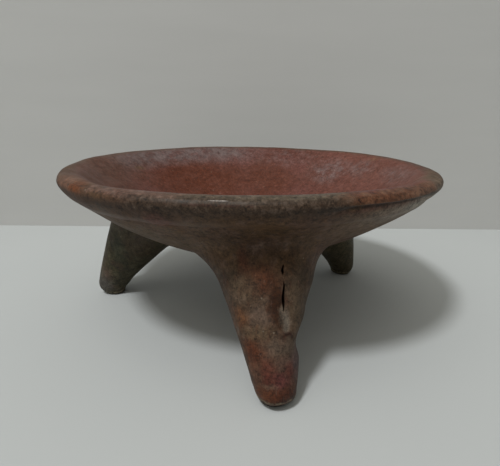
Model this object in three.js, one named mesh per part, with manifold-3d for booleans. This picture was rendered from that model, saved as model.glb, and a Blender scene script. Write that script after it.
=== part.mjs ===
// Tripod bowl of red-slipped earthenware: a shallow dish with a rolled lip, on three hollow legs.
// Each leg is a leaning cone with a sound slit, two loose clay pellets inside, and a clay fillet at its root.
// Millimetres, +Z up. The origin is on the dish's axis, on the surface that the toes stand on.
import * as THREE from "three";
import { mergeVertices } from "three/addons/utils/BufferGeometryUtils.js";
import Module from "manifold-3d";

const wasm = await Module();
wasm.setup();

// Dish
const rimRadius = 110;
const rimHeight = 97;
const lipHalfWidth = 8.6;
const lipHalfHeight = 5.6;
const lipTilt = 14;
const floorUndersideHeight = 45;
const floorThickness = 8.5;
const undersideFlatRadius = 22;
const insideFlatRadius = 20;
const wallCurve = 1.65;
const lipSeatOuterAngle = -60;
const lipSeatInnerAngle = -186;

// Legs, each in its own frame: +X points out from the dish's axis
const toeReach = 98.5;
const toeHeight = 8;
const toeHalfDepth = 11.2;
const toeHalfWidth = 9.4;
const toeFlatHalfDepth = 4.4;
const toeFlatHalfWidth = 4.8;
const toeDepthCurve = 0.62;
const rootReach = 64.5;
const rootHeight = 55;
const rootHalfDepth = 30;
const rootHalfWidth = 25.5;
const legCurve = 1.15;
const legWall = 6;
const chamberFloorHeight = 14;
const chamberRounding = 5;
const chamberFlatShare = 0.55;

// Fillet of luting clay round each root
const filletOuterSize = 3;
const filletInnerSize = 13;
const filletEdge = 0.5;
const filletGrowth = 0.35;

// Sound slit in the outward face of each leg, that far below the leg's top edge
const slitWidth = 1.3;
const slitDrop = 8.9;
const slitLength = 19.5;
const slitOffset = 4.3;
const bridgeDrop = 4;
const bridgeLength = 2.2;
const cutOverrun = 5;

// Loose pellets, side by side on the chamber's floor
const slitSidePelletRadius = 2.9;
const farSidePelletRadius = 2.7;
const settleShare = 0.005;

// Gap between pieces that touch
const seamGap = 0.3;

const legPlaces = [
  { name: "front", degrees: -90, bridged: true },
  { name: "left", degrees: 160.8, bridged: false },
  { name: "right", degrees: 33.2, bridged: false },
];

const sidesOfDish = 72;
const sidesOfLeg = 36;

const redSlip = { color: 0x7d4433, roughness: 0.55, metalness: 0 };
const smokedSlip = { color: 0x4a3a2f, roughness: 0.6, metalness: 0 };
const bareClay = { color: 0x8a6a50, roughness: 0.85, metalness: 0 };

// The lip coil's oval section leans up and out, and touches the rim's radius and height.
const tilt = THREE.MathUtils.degToRad(lipTilt);
const lipCentre = new THREE.Vector2(
  rimRadius - Math.hypot(lipHalfWidth * Math.cos(tilt), lipHalfHeight * Math.sin(tilt)),
  rimHeight - Math.hypot(lipHalfWidth * Math.sin(tilt), lipHalfHeight * Math.cos(tilt)),
);

// A point of the lip coil's section, or that far off it, at an angle in degrees.
function lipPoint(degrees, away = 0) {
  const angle = THREE.MathUtils.degToRad(degrees);
  const outward = new THREE.Vector2(Math.cos(angle) / lipHalfWidth, Math.sin(angle) / lipHalfHeight).normalize();
  return new THREE.Vector2(lipHalfWidth * Math.cos(angle), lipHalfHeight * Math.sin(angle))
    .addScaledVector(outward, away)
    .rotateAround(new THREE.Vector2(), tilt)
    .add(lipCentre);
}

const wallTop = { outer: lipPoint(lipSeatOuterAngle, seamGap), inner: lipPoint(lipSeatInnerAngle, seamGap) };

// Height of a dish surface that is flat at the middle and climbs to an edge point.
function dishHeight(radius, flatRadius, flatHeight, edge) {
  const climb = Math.max(0, radius - flatRadius) / (edge.x - flatRadius);
  return flatHeight + (edge.y - flatHeight) * climb ** wallCurve;
}

function undersideHeight(radius) {
  return dishHeight(radius, undersideFlatRadius, floorUndersideHeight, wallTop.outer);
}

function insideHeight(radius) {
  return dishHeight(radius, insideFlatRadius, floorUndersideHeight + floorThickness, wallTop.inner);
}

// The dish: its underside from the axis out, the cradle for the lip, and its inside back to the axis.
function makeDish() {
  const steps = 10;
  const profile = [new THREE.Vector2(0, floorUndersideHeight)];
  for (let i = 0; i <= steps; i++) {
    const radius = THREE.MathUtils.lerp(undersideFlatRadius, wallTop.outer.x, i / steps);
    profile.push(new THREE.Vector2(radius, undersideHeight(radius)));
  }
  const seatSteps = 6;
  for (let i = 1; i < seatSteps; i++) {
    profile.push(lipPoint(THREE.MathUtils.lerp(lipSeatOuterAngle, lipSeatInnerAngle, i / seatSteps), seamGap));
  }
  for (let i = steps; i >= 0; i--) {
    const radius = THREE.MathUtils.lerp(insideFlatRadius, wallTop.inner.x, i / steps);
    profile.push(new THREE.Vector2(radius, insideHeight(radius)));
  }
  profile.push(new THREE.Vector2(0, floorUndersideHeight + floorThickness));
  return turned(profile);
}

// The lip: an oval coil that lies in the cradle along the wall's top edge.
function makeLip() {
  const steps = 16;
  const profile = Array.from({ length: steps }, (_, i) => lipPoint((360 * i) / steps));
  return turned([...profile, profile[0]]);
}

// A LatheGeometry turned so that its axis is +Z.
function turned(profile) {
  return new THREE.LatheGeometry(profile, sidesOfDish).rotateX(Math.PI / 2);
}

// How far the leg has grown from toe (0) to root (1) at a height; its sides are slightly hollow curves.
function growth(height) {
  const share = Math.max(0, height - toeHeight) / (rootHeight - toeHeight);
  return share ** legCurve;
}

// The leg's oval section at a height: its centre's reach, half depth and half width.
function legSection(height) {
  const grown = growth(height);
  return {
    reach: THREE.MathUtils.lerp(toeReach, rootReach, grown),
    depth: THREE.MathUtils.lerp(toeHalfDepth, rootHalfDepth, grown),
    width: THREE.MathUtils.lerp(toeHalfWidth, rootHalfWidth, grown),
  };
}

// The toe rounds in from the leg's full section to the flat that it stands on.
function toeSection(height) {
  const up = height / toeHeight;
  return {
    reach: toeReach,
    depth: THREE.MathUtils.lerp(toeFlatHalfDepth, toeHalfDepth, up ** toeDepthCurve),
    width: THREE.MathUtils.lerp(toeFlatHalfWidth, toeHalfWidth, Math.sqrt(Math.max(0, 1 - (1 - up) ** 2))),
  };
}

// Level thickness of a wall of legWall that leans by a horizontal run over the leg's height.
function levelWall(run) {
  return legWall * Math.hypot(1, run / (rootHeight - toeHeight));
}

const outerWall = levelWall(rootReach + rootHalfDepth - toeReach - toeHalfDepth);
const innerWall = levelWall(rootReach - rootHalfDepth - toeReach + toeHalfDepth);
const sideWall = levelWall(rootHalfWidth - toeHalfWidth);

// The hollow inside the leg, a wall's thickness in from its section.
function chamberSection(height) {
  const full = legSection(height);
  return {
    reach: full.reach + (innerWall - outerWall) / 2,
    depth: full.depth - (innerWall + outerWall) / 2,
    width: full.width - sideWall,
  };
}

// The chamber's floor rounds in to a smaller flat.
function chamberFloorSection(height) {
  const full = chamberSection(chamberFloorHeight + chamberRounding);
  const up = (height - chamberFloorHeight) / chamberRounding;
  const size = THREE.MathUtils.lerp(chamberFlatShare, 1, Math.sqrt(Math.max(0, 1 - (1 - up) ** 2)));
  return { reach: full.reach, depth: full.depth * size, width: full.width * size };
}

function ovalPoint(section, height, angle) {
  return new THREE.Vector3(
    section.reach + section.depth * Math.cos(angle),
    section.width * Math.sin(angle),
    height,
  );
}

// The height at which a leg surface, followed up at one angle, comes within the seam gap of the dish.
function topHeight(sectionAt, angle) {
  let low = toeHeight;
  let high = rimHeight;
  for (let i = 0; i < 40; i++) {
    const middle = (low + high) / 2;
    const point = ovalPoint(sectionAt(middle), middle, angle);
    if (middle < undersideHeight(Math.hypot(point.x, point.y)) - seamGap) low = middle;
    else high = middle;
  }
  return low;
}

// A ring of points round the leg, one for each side, from a function of the angle.
function ringOf(pointAt) {
  return Array.from({ length: sidesOfLeg }, (_, i) => pointAt((2 * Math.PI * i) / sidesOfLeg));
}

// The rings of a skin from a starting height up to the dish.
function skinRings(sectionAt, startHeight, steps) {
  return Array.from({ length: steps }, (_, i) =>
    ringOf((angle) => {
      const height = THREE.MathUtils.lerp(startHeight, topHeight(sectionAt, angle), (i + 1) / steps);
      return ovalPoint(sectionAt(height), height, angle);
    }),
  );
}

// A closed surface through rings that each have as many points. Capped ends get a middle point; looped ends join.
function surfaceThrough(rings, looped) {
  const sides = rings[0].length;
  const points = rings.flat();
  const faces = [];
  const last = looped ? rings.length : rings.length - 1;
  for (let row = 0; row < last; row++) {
    const here = row * sides;
    const next = ((row + 1) % rings.length) * sides;
    for (let i = 0; i < sides; i++) {
      const j = (i + 1) % sides;
      faces.push(here + i, here + j, next + j, here + i, next + j, next + i);
    }
  }
  if (!looped) {
    for (const [row, turn] of [[0, 1], [rings.length - 1, 0]]) {
      const middle = new THREE.Vector3();
      rings[row].forEach((point) => middle.add(point));
      points.push(middle.divideScalar(sides));
      for (let i = 0; i < sides; i++) {
        const pair = [row * sides + i, row * sides + ((i + 1) % sides)];
        if (turn) pair.reverse();
        faces.push(points.length - 1, ...pair);
      }
    }
  }
  return new THREE.BufferGeometry().setFromPoints(points).setIndex(faces);
}

function toSolid(geometry) {
  const bare = geometry.index ? geometry.toNonIndexed() : geometry.clone();
  bare.deleteAttribute("normal");
  bare.deleteAttribute("uv");
  const merged = mergeVertices(bare);
  return new wasm.Manifold(
    new wasm.Mesh({
      numProp: 3,
      vertProperties: merged.attributes.position.array,
      triVerts: new Uint32Array(merged.index.array),
    }),
  );
}

function toGeometry(solid) {
  const mesh = solid.getMesh();
  return new THREE.BufferGeometry()
    .setAttribute("position", new THREE.BufferAttribute(mesh.vertProperties, 3))
    .setIndex(new THREE.BufferAttribute(mesh.triVerts, 1));
}

// A cutter for a slit that tapers to both ends, through the leg's outward wall.
function slitCutter(bottomHeight, length) {
  const half = slitWidth / 2;
  const middle = bottomHeight + length / 2;
  const outline = new THREE.Shape();
  outline.moveTo(slitOffset, bottomHeight);
  outline.quadraticCurveTo(slitOffset + 2 * half, middle, slitOffset, bottomHeight + length);
  outline.quadraticCurveTo(slitOffset - 2 * half, middle, slitOffset, bottomHeight);
  const wallAt = (height) => legSection(height).reach + legSection(height).depth;
  const from = wallAt(bottomHeight + length) - outerWall - cutOverrun;
  const depth = wallAt(bottomHeight) + cutOverrun - from;
  const cutter = new THREE.ExtrudeGeometry(outline, { depth, bevelEnabled: false, curveSegments: 6 });
  const drawnToLeg = new THREE.Matrix4().makeBasis(
    new THREE.Vector3(0, 1, 0),
    new THREE.Vector3(0, 0, 1),
    new THREE.Vector3(1, 0, 0),
  );
  return toSolid(cutter.applyMatrix4(drawnToLeg).translate(from, 0, 0));
}

// A hollow leg: the toe, the outer skin up to the dish, and the chamber's skin back down.
function makeLeg(bridged) {
  const toeSteps = 4;
  const toe = Array.from({ length: toeSteps + 1 }, (_, i) => {
    const height = toeHeight * (1 - Math.cos((i / toeSteps) * (Math.PI / 2)));
    return ringOf((angle) => ovalPoint(toeSection(height), height, angle));
  });
  const outside = skinRings(legSection, toeHeight, 7);
  const floorSteps = 3;
  const floor = Array.from({ length: floorSteps + 1 }, (_, i) => {
    const height = chamberFloorHeight + chamberRounding * (1 - Math.cos((i / floorSteps) * (Math.PI / 2)));
    return ringOf((angle) => ovalPoint(chamberFloorSection(height), height, angle));
  });
  const inside = skinRings(chamberSection, chamberFloorHeight + chamberRounding, 6);
  const rings = [...toe, ...outside, ...inside.reverse(), ...floor.reverse()];
  const leg = toSolid(surfaceThrough(rings, false));
  const slitTop = topHeight(legSection, 0) - slitDrop;
  const slitBottom = slitTop - slitLength;
  const bridgeTop = slitTop - bridgeDrop;
  const bridgeBottom = bridgeTop - bridgeLength;
  const slits = bridged
    ? [slitCutter(slitBottom, bridgeBottom - slitBottom), slitCutter(bridgeTop, bridgeDrop)]
    : [slitCutter(slitBottom, slitLength)];
  return toGeometry(slits.reduce((body, slit) => body.subtract(slit), leg));
}

// The fillet's section at one angle: a hollow curve that runs out onto the leg and onto the dish.
function filletSection(angle) {
  const size = THREE.MathUtils.lerp(filletOuterSize, filletInnerSize, ((1 - Math.cos(angle)) / 2) ** filletGrowth);
  const top = topHeight(legSection, angle);
  const foot = top - size;
  const section = legSection(top);
  const outward = new THREE.Vector3(Math.cos(angle) / section.depth, Math.sin(angle) / section.width, 0).normalize();
  const corner = ovalPoint(section, top, angle);
  const onLeg = (height, away) => ovalPoint(legSection(height), height, angle).addScaledVector(outward, away);
  const underDish = (run, below) => {
    const point = corner.clone().addScaledVector(outward, run);
    point.z = undersideHeight(Math.hypot(point.x, point.y)) - below;
    return point;
  };
  const curveSteps = 5;
  const curve = new THREE.QuadraticBezierCurve3(
    onLeg(foot, seamGap + filletEdge),
    underDish(seamGap + filletEdge, seamGap + filletEdge),
    underDish(size, seamGap + filletEdge),
  ).getPoints(curveSteps);
  return [
    onLeg(foot, seamGap),
    ...curve,
    underDish(size, seamGap),
    underDish(size / 2, seamGap),
    underDish(seamGap, seamGap),
    onLeg((foot + top) / 2, seamGap),
  ];
}

// The fillet is one closed ring of those sections round the leg's root.
function makeFillet() {
  const sections = ringOf(filletSection);
  const rings = sections[0].map((_, i) => sections.map((section) => section[i]));
  return surfaceThrough(rings, true);
}

// A ball to one side of the chamber's middle, at the lowest height where it clears the clay by the seam gap.
function makePellet(leg, side, radius) {
  const corners = [0, 1, 2].map(() => new THREE.Vector3());
  const face = new THREE.Triangle(...corners);
  const foot = chamberSection(chamberFloorHeight + chamberRounding);
  const centre = new THREE.Vector3(foot.reach, side * (radius + seamGap / 2), chamberFloorHeight + radius);
  const nearest = new THREE.Vector3();
  const meetsClay = () => {
    for (let i = 0; i < leg.index.count; i += 3) {
      corners.forEach((corner, j) => corner.fromBufferAttribute(leg.attributes.position, leg.index.getX(i + j)));
      if (face.closestPointToPoint(centre, nearest).distanceTo(centre) < radius + seamGap) return true;
    }
    return false;
  };
  while (meetsClay() && centre.z < floorUndersideHeight) centre.z += radius * settleShare;
  const ball = new THREE.IcosahedronGeometry(radius, 2).deleteAttribute("normal").deleteAttribute("uv");
  return mergeVertices(ball).translate(centre.x, centre.y, centre.z);
}

function addPiece(parent, name, geometry, finish) {
  geometry.computeVertexNormals();
  const mesh = new THREE.Mesh(geometry, new THREE.MeshStandardMaterial(finish));
  mesh.name = name;
  parent.add(mesh);
}

const bowl = new THREE.Group();
addPiece(bowl, "dish", makeDish(), redSlip);
addPiece(bowl, "lip_coil", makeLip(), redSlip);

for (const { name, degrees, bridged } of legPlaces) {
  const place = new THREE.Group();
  place.rotation.z = THREE.MathUtils.degToRad(degrees);
  const leg = makeLeg(bridged);
  addPiece(place, `leg_${name}`, leg, smokedSlip);
  addPiece(place, `root_fillet_${name}`, makeFillet(), smokedSlip);
  addPiece(place, `slit_side_pellet_${name}`, makePellet(leg, 1, slitSidePelletRadius), bareClay);
  addPiece(place, `far_side_pellet_${name}`, makePellet(leg, -1, farSidePelletRadius), bareClay);
  bowl.add(place);
}

export default bowl;
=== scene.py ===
# %% [markdown]
# # A tripod bowl of red-slipped earthenware
# The bowl was built up by hand: a shallow dish, a roll of clay along its rim, three hollow legs and a
# smear of soft clay round the root of each leg. It was coated with red slip, rubbed smooth with a
# pebble and smoked in the kiln. This notebook rebuilds it piece by piece over a frame that is
# already measured, so each piece goes where the frame says and nothing is fitted by eye.

# %% Load the frame
from math import cos, hypot, pi, radians, sin, sqrt

import bpy
from mathutils import Matrix, Vector


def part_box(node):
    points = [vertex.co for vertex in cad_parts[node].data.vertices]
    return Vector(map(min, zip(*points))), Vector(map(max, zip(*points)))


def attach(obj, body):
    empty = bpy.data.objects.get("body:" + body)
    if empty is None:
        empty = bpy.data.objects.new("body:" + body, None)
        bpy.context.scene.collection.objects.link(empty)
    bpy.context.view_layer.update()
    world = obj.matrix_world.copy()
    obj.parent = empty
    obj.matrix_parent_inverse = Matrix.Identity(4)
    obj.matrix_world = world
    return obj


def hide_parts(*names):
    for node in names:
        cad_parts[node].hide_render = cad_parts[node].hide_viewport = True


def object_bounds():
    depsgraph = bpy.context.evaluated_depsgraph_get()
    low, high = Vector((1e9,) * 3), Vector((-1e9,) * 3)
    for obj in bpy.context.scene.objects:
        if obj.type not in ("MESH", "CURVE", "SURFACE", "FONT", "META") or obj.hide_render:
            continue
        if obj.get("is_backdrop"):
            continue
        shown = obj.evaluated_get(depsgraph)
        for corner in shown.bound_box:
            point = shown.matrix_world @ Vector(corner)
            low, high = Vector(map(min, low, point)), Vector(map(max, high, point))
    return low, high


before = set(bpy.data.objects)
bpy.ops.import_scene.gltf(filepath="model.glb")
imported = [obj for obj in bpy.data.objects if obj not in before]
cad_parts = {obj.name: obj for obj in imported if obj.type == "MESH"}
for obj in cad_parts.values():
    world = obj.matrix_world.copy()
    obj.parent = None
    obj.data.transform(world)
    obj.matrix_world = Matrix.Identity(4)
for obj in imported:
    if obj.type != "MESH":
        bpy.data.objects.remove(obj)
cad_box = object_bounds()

MM = 0.001
scene = bpy.context.scene
print("nodes:", len(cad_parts))

# %% [markdown]
# ## The camera
# A photograph's perspective tells where its camera stood. This one was close, a little above the
# rim, with the front leg slightly to the right of the middle. A camera's matrix holds its right, up
# and backward directions as columns, so it can be written down without any aiming helper.

# %% Place the camera
photo_width, focal_length = 500, 430  # in pixels
view_turn = radians(7)  # so far to the right of the camera's line the front leg stands
camera_place = Vector((-31.82, -264.9, 130.1)) * MM
camera_data = bpy.data.cameras.new("photo_camera")
camera_data.sensor_width = 36
camera_data.lens = focal_length * 36 / photo_width
camera = bpy.data.objects.new("photo_camera", camera_data)
scene.collection.objects.link(camera)
right = Vector((0.992693, -0.120350, 0.008703))
up = Vector((0.025838, 0.282468, 0.958929))
forward = Vector((0.117866, 0.951697, -0.283513))
axes = Matrix((right, up, -forward)).transposed().to_4x4()
camera.matrix_world = Matrix.Translation(camera_place) @ axes
scene.camera = camera
print("lens", round(camera_data.lens, 2), "mm")

# %% [markdown]
# ## The light
# The shadow on the table tells where the lamp was: it is larger than the rim and its edge is soft,
# so the lamp was a bright bulb about a metre away, high at the front left. A point lamp with a
# radius gives that edge. Its strength is kept from fading with distance, because the photographed
# table is evenly lit. A pale room fills in the rest: dimmer on the camera's side, and with a bright
# patch of ceiling round the lamp.

# %% Light the table
bulb_place = Vector((-335, -468, 835)) * MM
bulb_radius, bulb_strength = 0.068, 24
lamp_data = bpy.data.lights.new("bulb", "POINT")
lamp_data.energy = 1
lamp_data.shadow_soft_size = bulb_radius
lamp_data.use_nodes = True
lamp_tree = lamp_data.node_tree
steady = lamp_tree.nodes.new("ShaderNodeLightFalloff")
steady.inputs["Strength"].default_value = bulb_strength
lamp_tree.links.new(steady.outputs["Constant"], lamp_tree.nodes["Emission"].inputs["Strength"])
lamp_tree.nodes["Emission"].inputs["Color"].default_value = (0.98, 0.99, 0.99, 1)
lamp = bpy.data.objects.new("bulb", lamp_data)
lamp.location = bulb_place
scene.collection.objects.link(lamp)

world = bpy.data.worlds.new("pale_room")
scene.world = world
world.use_nodes = True
room = world.node_tree
looking = room.nodes.new("ShaderNodeTexCoord").outputs["Generated"]


def glow(toward, low, high, dark, bright):
    """Light that grows from dark to bright as one looks toward a direction."""
    facing = room.nodes.new("ShaderNodeVectorMath")
    facing.operation = "DOT_PRODUCT"
    facing.inputs[1].default_value = toward
    level = room.nodes.new("ShaderNodeMapRange")
    level.interpolation_type = "SMOOTHSTEP"
    for name, value in (("From Min", low), ("From Max", high), ("To Min", dark), ("To Max", bright)):
        level.inputs[name].default_value = value
    room.links.new(looking, facing.inputs[0])
    room.links.new(facing.outputs["Value"], level.inputs["Value"])
    return level.outputs["Result"]


high_behind, round_lamp = (0.33, 0.63, 0.70), (-0.33, -0.46, 0.82)
both = room.nodes.new("ShaderNodeMath")
room.links.new(glow(high_behind, -0.7, 1, 0.04, 0.36), both.inputs[0])
room.links.new(glow(round_lamp, 0.72, 1, 0, 1.1), both.inputs[1])
room.links.new(both.outputs[0], room.nodes["Background"].inputs["Strength"])
room.nodes["Background"].inputs["Color"].default_value = (1.0, 0.98, 0.89, 1)
scene.view_settings.view_transform = "Standard"
print("bulb at", [round(v, 3) for v in lamp.location], "m")

# %% [markdown]
# ## Writing shader maths as Python
# A material is a net of nodes. Adding each node by hand hides the idea behind the wiring, so a
# small class wraps a socket and turns + - * / into Math nodes.

# %% Shader maths
class Value:
    """A number that changes over the surface: the output socket of a node."""

    def __init__(self, net, socket):
        self.net = net
        self.socket = socket

    def math(self, operation, *others):
        node = self.net.add("Math", {"operation": operation}, dict(enumerate((self, *others))))
        return Value(self.net, node.outputs[0])

    def __add__(self, other):
        return self.math("ADD", other)

    __radd__ = __add__

    def __sub__(self, other):
        return self.math("SUBTRACT", other)

    def __rsub__(self, other):
        return (self * -1) + other

    def __mul__(self, other):
        return self.math("MULTIPLY", other)

    __rmul__ = __mul__

    def __truediv__(self, other):
        return self.math("DIVIDE", other)

    def __pow__(self, other):
        return self.math("POWER", other)

    def smooth(self, low, high):
        """0 below low, 1 above high, and an easy slope between. low may be the larger one."""
        if low > high:
            return 1 - self.smooth(high, low)
        node = self.net.add("MapRange", {"interpolation_type": "SMOOTHSTEP"},
                            {"Value": self, "From Min": low, "From Max": high})
        return Value(self.net, node.outputs["Result"])


print("shader maths ready")

# %% [markdown]
# A second class keeps the net itself, and knows the nodes that come back often.

# %% The net of nodes
class Net:
    """One material and its nodes."""

    def __init__(self, name):
        self.material = bpy.data.materials.new(name)
        self.material.use_nodes = True
        self.tree = self.material.node_tree
        self.tree.nodes.clear()

    def add(self, kind, settings=None, sockets=None):
        """A new shader node, with its own settings and its inputs by name or number."""
        node = self.tree.nodes.new("ShaderNode" + kind)
        for name, setting in (settings or {}).items():
            setattr(node, name, setting)
        for name, value in (sockets or {}).items():
            if isinstance(value, Value):
                value = value.socket
            if isinstance(value, bpy.types.NodeSocket):
                self.tree.links.new(value, node.inputs[name])
            else:
                node.inputs[name].default_value = value
        return node

    def vector(self, operation, *values):
        node = self.add("VectorMath", {"operation": operation}, dict(enumerate(values)))
        return node.outputs["Value" if operation in ("LENGTH", "DOT_PRODUCT") else "Vector"]

    def noise(self, place, size_mm, detail=4, roughness=0.55, seed=0):
        """Smooth noise about 0.5, whose lumps are about size_mm across."""
        node = self.add("TexNoise", {"noise_dimensions": "4D"},
                        {"Vector": place, "Scale": 1 / size_mm, "W": seed, "Detail": detail,
                         "Roughness": roughness})
        return Value(self, node.outputs["Fac"])

    def mix(self, share, first, second):
        """One colour into another: sockets of this net, or colours as a screen shows them.
        Sockets 6 and 7 of a Mix node are its two colours."""
        first, second = (srgb(*c) if isinstance(c, tuple) else c for c in (first, second))
        node = self.add("Mix", {"data_type": "RGBA"}, {0: share, 6: first, 7: second})
        return node.outputs[2]


def srgb(red, green, blue):
    """A colour as a screen shows it, from 0 to 255, as the linear colour that a shader wants."""
    linear = [c / 12.92 if c <= 0.04045 else ((c + 0.055) / 1.055) ** 2.4 for c in
              (red / 255, green / 255, blue / 255)]
    return (*linear, 1)


print("a middle grey is", round(srgb(128, 128, 128)[0], 3), "in linear light")

# %% [markdown]
# ## The floor and the backdrop
# A plain pale table and a plain wall behind it. They are the stage, not part of the object. Their
# faint mottling only keeps them from looking like paper. The wall lets light and sight through from
# behind, so a view from the back isn't blocked by it.

# %% Set the stage
def stage_material(name, colour, other, one_sided=False):
    net = Net(name)
    place = net.add("TexCoord").outputs["Object"]
    mottle = net.noise(place, 0.06, detail=6)
    shader = net.add("BsdfPrincipled", None,
                     {"Base Color": net.mix(mottle, colour, other), "Roughness": 0.9,
                      "Specular IOR Level": 0.1}).outputs[0]
    if one_sided:
        behind = net.add("NewGeometry").outputs["Backfacing"]
        clear = net.add("BsdfTransparent").outputs[0]
        shader = net.add("MixShader", None, {0: behind, 1: shader, 2: clear}).outputs[0]
    net.add("OutputMaterial", None, {"Surface": shader})
    return net.material


def flat_sheet(name, width, depth, place, turn, material):
    bpy.ops.object.select_all(action="DESELECT")
    bpy.ops.mesh.primitive_plane_add(size=1, location=place, rotation=turn)
    sheet = bpy.context.object
    sheet.name = name
    sheet.scale = (width, depth, 1)
    sheet.data.materials.append(material)
    sheet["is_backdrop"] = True
    return sheet


wall_turn, wall_distance, wall_middle = -view_turn, 195, 0.198
wall_foot = Vector((-sin(wall_turn), cos(wall_turn))) * wall_distance * MM
table = flat_sheet("table", 4, 4, (0, 0, 0), (0, 0, 0),
                   stage_material("pale_table", (181, 185, 186), (186, 189, 189)))
wall = flat_sheet("wall", 3, 0.4, (*wall_foot, wall_middle), (radians(90), 0, wall_turn),
                  stage_material("pale_wall", (172, 172, 170), (179, 179, 177), one_sided=True))
print("stage:", table.name, wall.name)

# %% [markdown]
# ## Working by hand
# Most of this bowl is rings: a ring is drawn, extruded, moved and stretched, again and again, just
# as a potter adds a coil and pinches it thinner. These helpers do one such step each. A ring is
# written as its middle, its two half widths and its height, all in millimetres.

# %% Helper: build up in rings
def begin():
    """Goes to object mode with nothing selected."""
    if bpy.context.object and bpy.context.object.mode != "OBJECT":
        bpy.ops.object.mode_set(mode="OBJECT")
    bpy.ops.object.select_all(action="DESELECT")


def pick(piece):
    begin()
    bpy.context.view_layer.objects.active = piece
    piece.select_set(True)


def face_outwards():
    """Turns every face of the piece in edit mode outwards, and leaves edit mode."""
    bpy.ops.mesh.select_all(action="SELECT")
    bpy.ops.mesh.normals_make_consistent(inside=False)
    bpy.ops.object.mode_set(mode="OBJECT")


def build_rings(name, rings, corners):
    """A closed skin through level rings of (x, y, half along x, half along y, z)."""
    begin()
    x, y, half_x, half_y, z = rings[0]
    bpy.ops.mesh.primitive_circle_add(vertices=corners, radius=MM, fill_type="NGON",
                                      location=(x * MM, y * MM, z * MM))
    piece = bpy.context.object
    piece.name = name
    bpy.ops.object.transform_apply(location=True, rotation=False, scale=False)
    bpy.ops.object.mode_set(mode="EDIT")
    bpy.ops.mesh.select_all(action="SELECT")
    bpy.ops.transform.resize(value=(half_x, half_y, 1), center_override=(x * MM, y * MM, z * MM))
    for new_x, new_y, new_half_x, new_half_y, new_z in rings[1:]:
        move = ((new_x - x) * MM, (new_y - y) * MM, (new_z - z) * MM)
        bpy.ops.mesh.extrude_region_move(TRANSFORM_OT_translate={"value": move})
        bpy.ops.transform.resize(value=(new_half_x / half_x, new_half_y / half_y, 1),
                                 center_override=(new_x * MM, new_y * MM, new_z * MM))
        x, y, half_x, half_y, z = new_x, new_y, new_half_x, new_half_y, new_z
    face_outwards()
    return piece


print("rings ready")

# %% [markdown]
# A roll of clay starts as a torus. Its points are then pressed to where fingers would press them:
# a function gives each point's place from how far it is round the bowl and round the roll. No
# operator makes a section that changes along the way, so this one step is done point by point.

# %% Helper: press a roll of clay
def press_roll(name, turns, sides, place_of):
    """A closed roll. place_of(share of the way round the bowl, side of the roll) is in mm."""
    begin()
    bpy.ops.mesh.primitive_torus_add(major_segments=turns, minor_segments=sides,
                                     major_radius=100 * MM, minor_radius=10 * MM)
    piece = bpy.context.object
    piece.name = name
    for number, vertex in enumerate(piece.data.vertices):
        along, around = divmod(number, sides)
        vertex.co = Vector(place_of(along / turns, around)) * MM
    bpy.ops.object.mode_set(mode="EDIT")
    face_outwards()
    return piece


def rounded_line(points, steps):
    """A closed curve that passes through the points, with so many steps between two of them."""
    count = len(points)
    curve = []
    for i in range(count):
        a, b, c, d = (points[(i + k) % count] for k in (-1, 0, 1, 2))
        for step in range(steps):
            t = step / steps
            curve.append(tuple(
                0.5 * (2 * q + (r - p) * t + (2 * p - 5 * q + 4 * r - s) * t ** 2
                       + (3 * q - p - 3 * r + s) * t ** 3)
                for p, q, r, s in zip(a, b, c, d)))
    return curve


print("rolls ready")

# %% [markdown]
# A few more helpers: turning a piece about the bowl's axis, cutting one shape out of another, and
# copying a piece with a mesh of its own.

# %% Helpers: turn, cut, copy
def turn_piece(piece, degrees):
    pick(piece)
    piece.rotation_euler.z = radians(degrees)
    bpy.ops.object.transform_apply(location=False, rotation=True, scale=False)
    return piece


def copy_piece(piece, name):
    copy = bpy.data.objects.new(name, piece.data.copy())
    scene.collection.objects.link(copy)
    return copy


def cut(piece, cutter):
    """Takes the cutter's shape out of a piece. The cutter is used up."""
    pick(piece)
    boolean = piece.modifiers.new("cut", "BOOLEAN")
    boolean.object = cutter
    boolean.operation = "DIFFERENCE"
    boolean.solver = "EXACT"
    bpy.ops.object.modifier_apply(modifier=boolean.name)
    bpy.data.objects.remove(cutter)
    bpy.ops.object.mode_set(mode="EDIT")
    face_outwards()


print("helpers ready")

# %% [markdown]
# ## The unevenness of a hand
# Nothing made by hand and eye is truly round. The rim was measured to sink and to stray by up to
# 0.8 mm, and the walls have soft swellings where fingers pressed. Every vessel piece takes its
# unevenness from its place in space, so that pieces which meet keep meeting.

# %% Helper: make a piece uneven
def soft_lumps(name, size_mm):
    clouds = bpy.data.textures.new(name, "CLOUDS")
    clouds.cloud_type = "COLOR"
    clouds.noise_scale = size_mm * MM
    clouds.noise_depth = 1
    return clouds


finger_swells = soft_lumps("finger_swells", 48)
pebble_dents = soft_lumps("pebble_dents", 14)


def displace(piece, texture, height_mm):
    """Moves the surface along x, y and z by a cloud texture's red, green and blue."""
    pick(piece)
    hand = piece.modifiers.new("hand", "DISPLACE")
    hand.texture = texture
    hand.texture_coords = "GLOBAL"
    hand.direction = "RGB_TO_XYZ"
    hand.mid_level = 0.5
    hand.strength = height_mm * MM
    bpy.ops.object.modifier_apply(modifier=hand.name)


# Each wave is how often it comes round the rim, its kind and its height in mm.
outward_waves = ((2, cos, -0.05), (2, sin, -0.11), (3, cos, 0.15), (3, sin, -0.29),
                 (4, cos, -0.49), (4, sin, -0.18))
upward_waves = ((2, cos, -0.38), (2, sin, -0.385), (3, cos, 0.03), (3, sin, 0.40),
                (1, cos, -0.30), (1, sin, 0.34))
rim_radius, highest_wave, wavy_above, top_limit = 110, 0.15, 60, 96.98


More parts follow.
